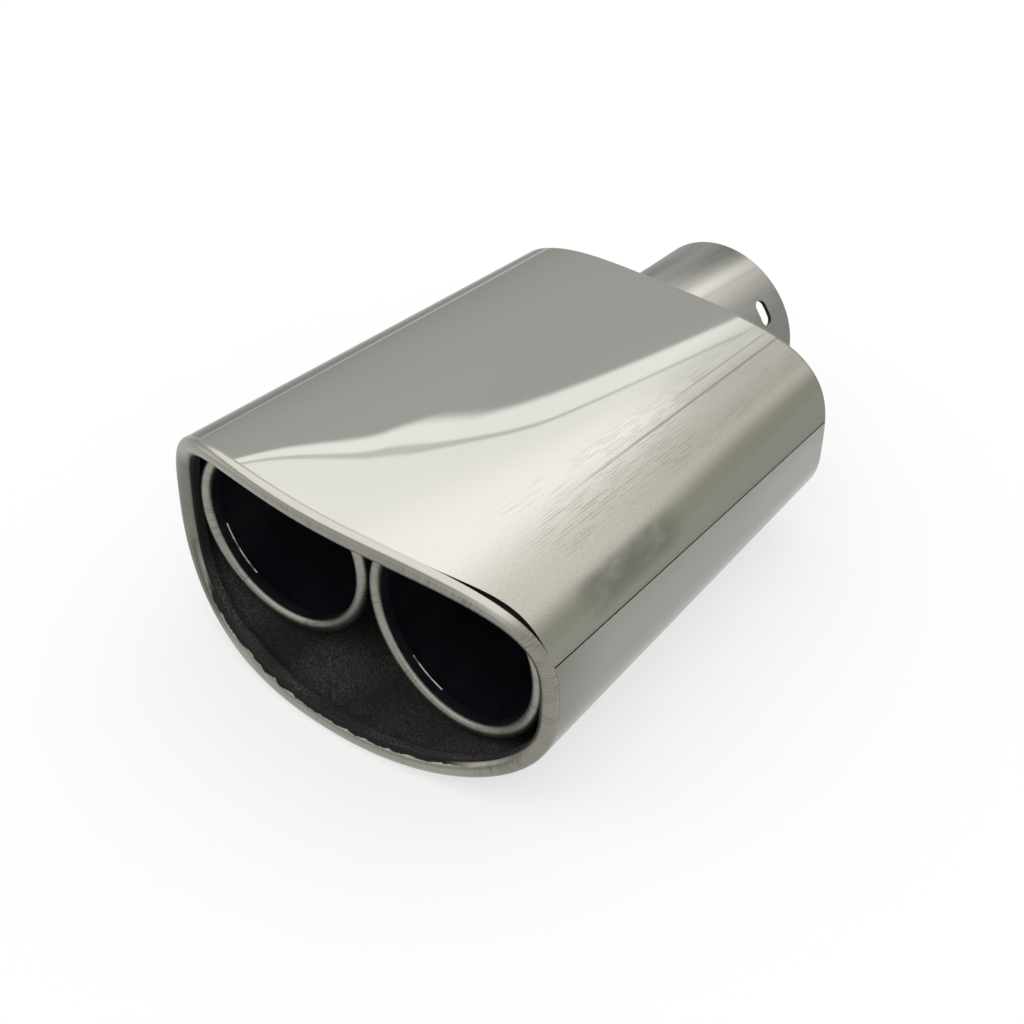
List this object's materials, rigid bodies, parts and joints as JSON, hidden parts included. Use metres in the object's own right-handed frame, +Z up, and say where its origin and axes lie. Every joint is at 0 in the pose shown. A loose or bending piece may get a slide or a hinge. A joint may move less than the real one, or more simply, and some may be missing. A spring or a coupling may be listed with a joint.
{
  "type": "exhaust tip",
  "caption": "Tapered steel tail pipe trim with a flattened oval mouth, rolled lip, twin inner tubes set back in it and a round slip-on inlet neck with a bolt slot.",
  "frame": {"origin": "centre of the inlet neck's open end, on its axis", "axes": "+Y out of the inlet neck along its axis, -Y out of the mouth, +X to the right across the mouth seen from its front, +Z up"},
  "size_m": [0.1596, 0.228, 0.0873],
  "materials": {
    "polished_steel": "polished",
    "tube_steel": "satin, dark inside",
    "blackened_steel": "matt black",
    "weld_metal": "as welded"
  },
  "bodies": {
    "root": {"upper_skin": "polished_steel", "lower_skin": "polished_steel", "mouth_liner": "blackened_steel", "left_tube": "tube_steel", "right_tube": "tube_steel", "bulkhead": "blackened_steel", "rear_cap": "polished_steel", "inlet_neck": "polished_steel", "neck_weld": "weld_metal"}
  },
  "joints": []
}
